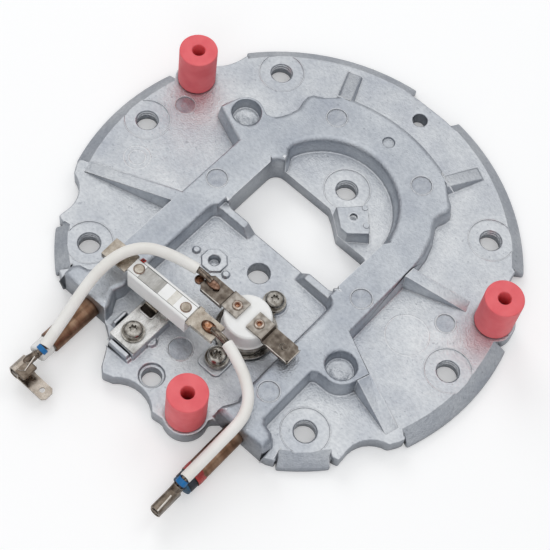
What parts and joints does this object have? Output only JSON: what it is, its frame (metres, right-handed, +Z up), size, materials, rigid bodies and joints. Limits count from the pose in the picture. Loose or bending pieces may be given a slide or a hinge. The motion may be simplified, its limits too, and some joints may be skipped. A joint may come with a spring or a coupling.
{
  "type": "boiler heating element",
  "caption": "Round die-cast heater plate with a cast-in tubular element, thermostat, thermal cut-out, white sleeved leads and three coral spacers.",
  "frame": {"origin": "centre of the bolt circle on the plate's flat underside", "axes": "+Z up from the flat underside towards the thermostat, +X away from the terminals, +Y towards the heater leg whose end holds the flag terminal"},
  "size_m": [0.154, 0.137, 0.0226],
  "materials": {
    "die_cast_aluminium": "satin",
    "sheath_steel": "satin",
    "magnesia": "matte",
    "coil_wire": "matte",
    "pin_steel": "satin",
    "bead_ceramic": "gloss",
    "dark_paint": "satin",
    "blue_ink": "gloss",
    "nickel_strip": "satin",
    "strand_wire": "satin",
    "sleeve_white": "matte",
    "stainless": "satin",
    "ceramic_white": "satin",
    "bimetal": "satin",
    "copper_rivet": "satin",
    "screw_steel": "satin",
    "link_alloy": "satin",
    "spring_steel": "satin",
    "silicone_coral": "satin"
  },
  "bodies": {
    "root": {"plate_casting": "die_cast_aluminium", "heater_sheath": "sheath_steel", "heater_filling": "magnesia", "heater_coil": "coil_wire", "cold_pins": "pin_steel", "end_bead_upper": "bead_ceramic", "end_seal_lower": "dark_paint", "seal_ring_lower": "blue_ink", "flag_terminal": "nickel_strip", "crimp_terminal": "nickel_strip", "lead_wire_1": "strand_wire", "lead_sleeve_1": "sleeve_white", "lead_band_1": "blue_ink", "lead_wire_2": "strand_wire", "lead_sleeve_2": "sleeve_white", "lead_band_2": "blue_ink", "thermostat_cup": "stainless", "thermostat_flange": "stainless", "thermostat_body": "ceramic_white", "bimetal_disc": "bimetal", "push_pin": "bead_ceramic", "thermostat_tab_upper": "nickel_strip", "thermostat_tab_lower": "nickel_strip", "thermostat_rivets": "copper_rivet", "thermostat_screws": "screw_steel", "cutout_body": "ceramic_white", "cutout_cover": "ceramic_white", "cutout_link": "link_alloy", "cutout_tab_upper": "nickel_strip", "cutout_tab_lower": "nickel_strip", "cutout_rivets": "nickel_strip", "cutout_clip": "spring_steel", "clip_screw_part": "screw_steel", "spacer_1": "silicone_coral", "spacer_2": "silicone_coral", "spacer_3": "silicone_coral"}
  },
  "joints": []
}
